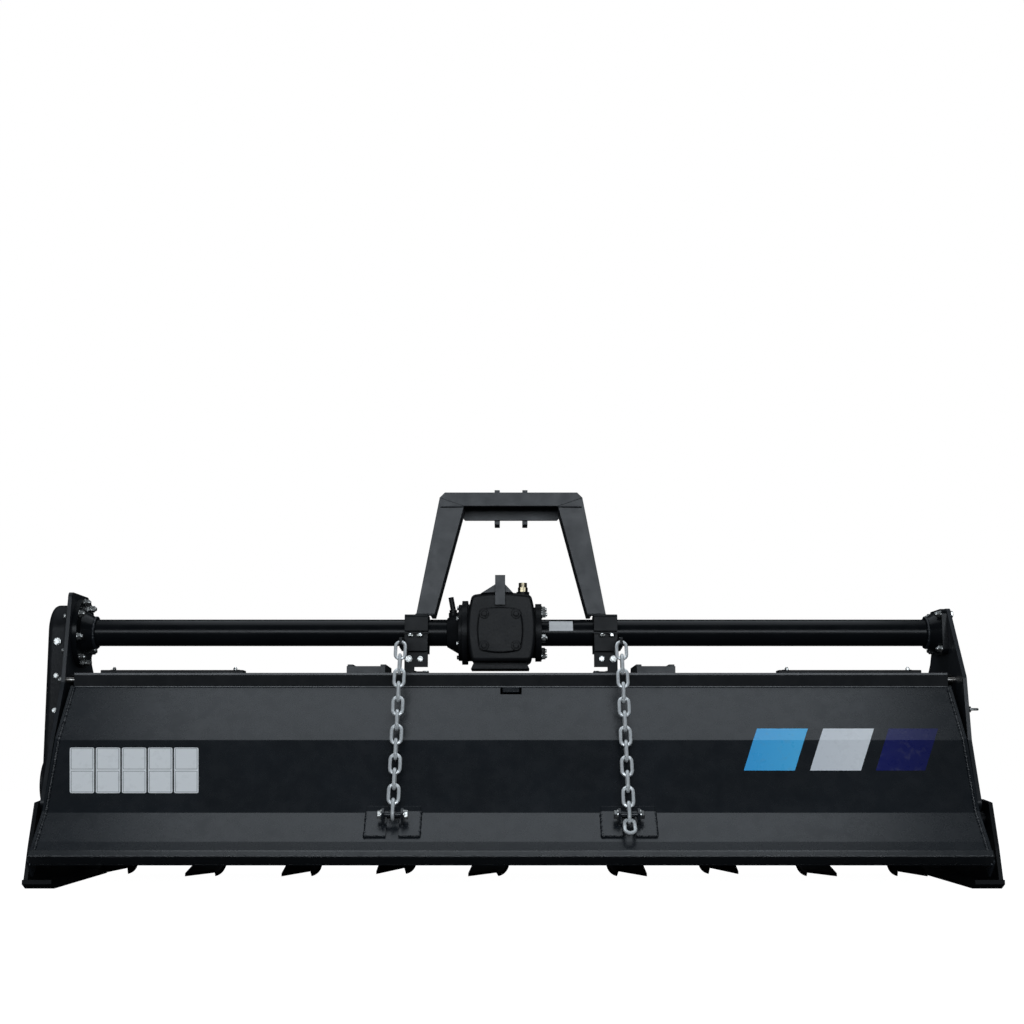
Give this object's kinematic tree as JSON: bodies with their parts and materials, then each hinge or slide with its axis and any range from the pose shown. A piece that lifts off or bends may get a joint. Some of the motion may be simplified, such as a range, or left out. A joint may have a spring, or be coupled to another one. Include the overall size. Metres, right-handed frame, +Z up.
{
  "type": "rotary tiller",
  "caption": "Tractor-mounted rotary tiller with a three-point mast, gearbox on a cross tube, bladed rotor under a deck, and a hinged rear flap held by chains.",
  "frame": {"origin": "on the floor at the skids' soles, under the middle of the machine's outer box", "axes": "+X to the right as seen from behind, +Y the way the tractor tows it, +Z up"},
  "size_m": [2.395, 0.7686, 1.029],
  "materials": {
    "frame_paint": "satin black powder coat",
    "flap_paint": "satin black powder coat",
    "casting_paint": "semi-gloss black over cast iron",
    "rotor_paint": "black paint on forged steel",
    "galvanised_chain": "galvanised",
    "bare_steel": "machined and oiled",
    "guard_plastic": "moulded black plastic",
    "plug_brass": "plated, weathered"
  },
  "bodies": {
    "frame": {"bearing_housing_left": "casting_paint", "bearing_housing_right": "casting_paint", "chain_arm_left": "frame_paint", "chain_arm_right": "frame_paint", "cross_tube_left": "frame_paint", "cross_tube_right": "frame_paint", "deck": "frame_paint", "deck_hanger_left": "frame_paint", "deck_hanger_right": "frame_paint", "deck_strips": "frame_paint", "drive_case": "casting_paint", "filler_plug": "plug_brass", "gear_lever": "casting_paint", "gearbox_base": "casting_paint", "gearbox_hanger_bar": "casting_paint", "gearbox_housing": "casting_paint", "gearbox_rear_cover": "casting_paint", "hinge_ears": "frame_paint", "hinge_rod": "bare_steel", "lower_hitch_left": "frame_paint", "lower_hitch_right": "frame_paint", "mast": "frame_paint", "pto_guard": "guard_plastic", "pto_seal": "casting_paint", "side_plate_left": "frame_paint", "side_plate_right": "frame_paint", "skid_left": "frame_paint", "skid_right": "frame_paint", "top_link_lugs": "frame_paint", "tube_clamp_left": "frame_paint", "tube_clamp_right": "frame_paint"},
    "rotor": {"rotor_tube": "rotor_paint", "tine_flange_1": "rotor_paint", "tine_flange_2": "rotor_paint", "tine_flange_3": "rotor_paint", "tine_flange_4": "rotor_paint", "tine_flange_5": "rotor_paint", "tine_flange_6": "rotor_paint", "tine_flange_7": "rotor_paint", "tine_flange_8": "rotor_paint", "tine_flange_9": "rotor_paint"},
    "flap": {"flap_bottom_rail": "flap_paint", "flap_bracket_left": "flap_paint", "flap_bracket_right": "flap_paint", "flap_end_left": "flap_paint", "flap_end_right": "flap_paint", "flap_knuckles": "flap_paint", "flap_sheet": "flap_paint"},
    "chain_left": {"chain_left": "galvanised_chain"},
    "chain_right": {"chain_right": "galvanised_chain"},
    "pto_shaft": {"pto_shaft": "bare_steel"}
  },
  "joints": [
    {"name": "rotor_spin", "type": "hinge", "parent": "frame", "child": "rotor", "pos_m": [0.0135, 0.08133, 0.243], "axis": [-1, 0, 0], "continuous": true},
    {"name": "pto_spin", "type": "hinge", "parent": "frame", "child": "pto_shaft", "pos_m": [-0.0145, 0.17033, 0.632], "axis": [0, 1, 0], "continuous": true},
    {"name": "flap_lift", "type": "hinge", "parent": "frame", "child": "flap", "pos_m": [0.0135, -0.03767, 0.504], "axis": [-1, 0, 0], "range_deg": [0, 50]},
    {"name": "chain_left_swing", "type": "hinge", "parent": "frame", "child": "chain_left", "pos_m": [-0.2665, -0.08367, 0.597], "axis": [-1, 0, 0], "range_deg": [0, 59]},
    {"name": "chain_right_swing", "type": "hinge", "parent": "frame", "child": "chain_right", "pos_m": [0.2935, -0.08367, 0.597], "axis": [-1, 0, 0], "range_deg": [0, 59]}
  ],
  "couplings": [
    {"joint": "pto_spin", "follows": "rotor_spin", "ratio": 2.7},
    {"joint": "chain_left_swing", "follows": "flap_lift", "ratio": 1.18},
    {"joint": "chain_right_swing", "follows": "flap_lift", "ratio": 1.18}
  ]
}
